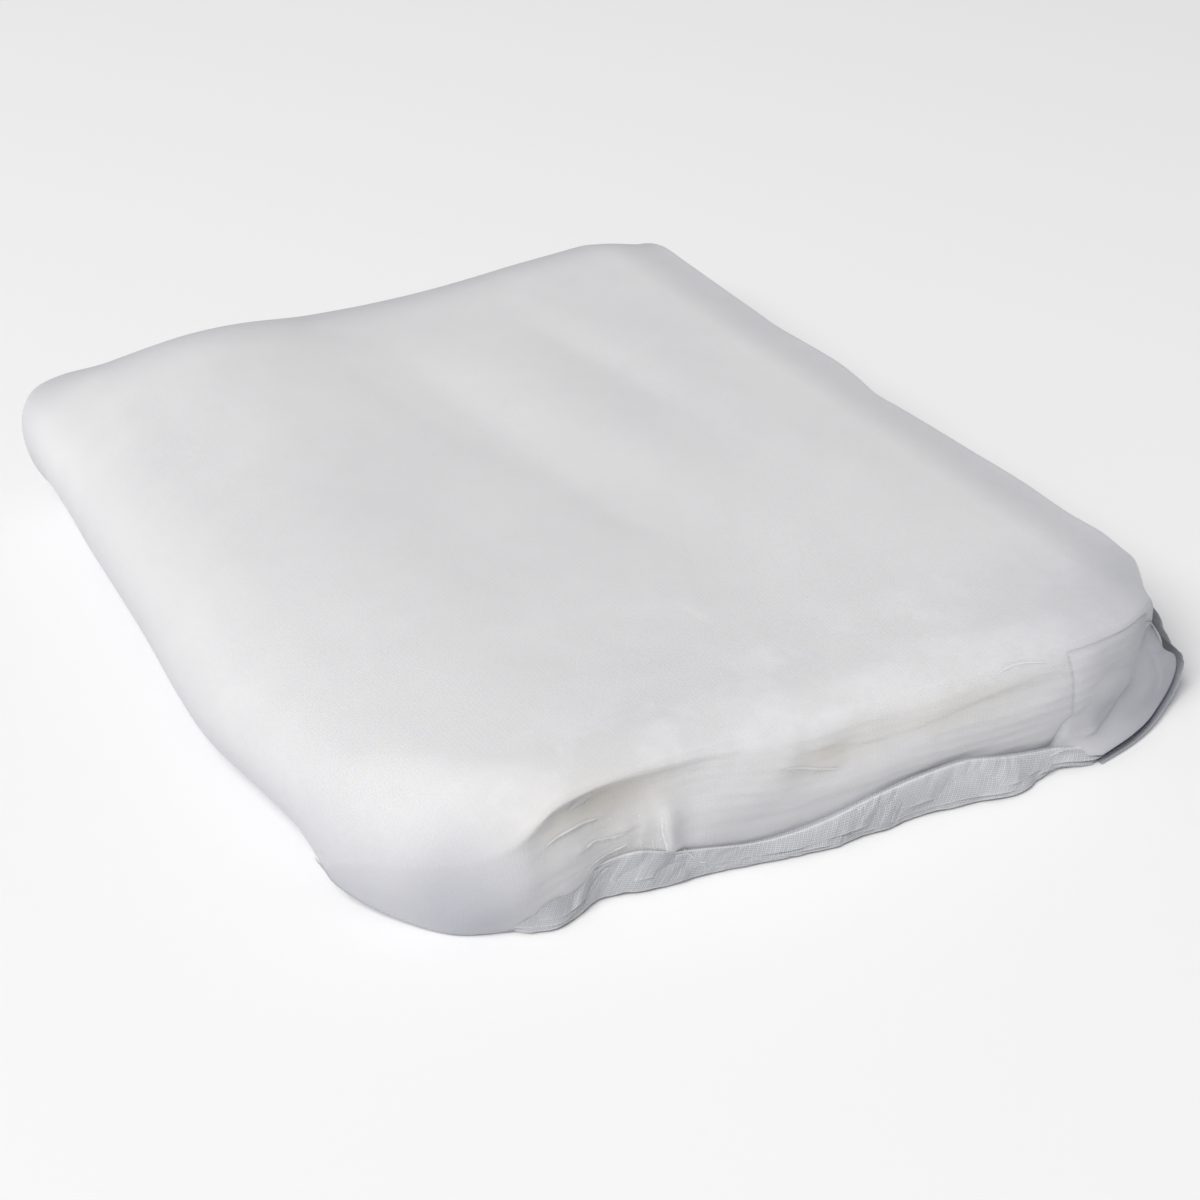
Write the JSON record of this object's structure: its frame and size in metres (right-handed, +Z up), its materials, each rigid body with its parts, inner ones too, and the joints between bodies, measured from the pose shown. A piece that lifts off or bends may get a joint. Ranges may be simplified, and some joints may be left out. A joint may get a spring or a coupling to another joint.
{
  "type": "flat-wound bundle of insect netting",
  "caption": "Length of fine white insect netting, folded to a strip and wound flat into a soft bundle with a smooth side fold and open wavy ends.",
  "frame": {"origin": "middle of the bundle's footprint, on the surface it lies on", "axes": "+Z up; +Y along the winding's axis, from the open end with the wavy lips to the plainer end; +X from the smooth side fold to the side with the free end"},
  "size_m": [0.3316, 0.404, 0.0624],
  "materials": {
    "netting": "fine white mesh in many layers, soft and matt, near opaque on top and sheer at the loose lips"
  },
  "bodies": {
    "root": {"netting": "netting"}
  },
  "joints": []
}
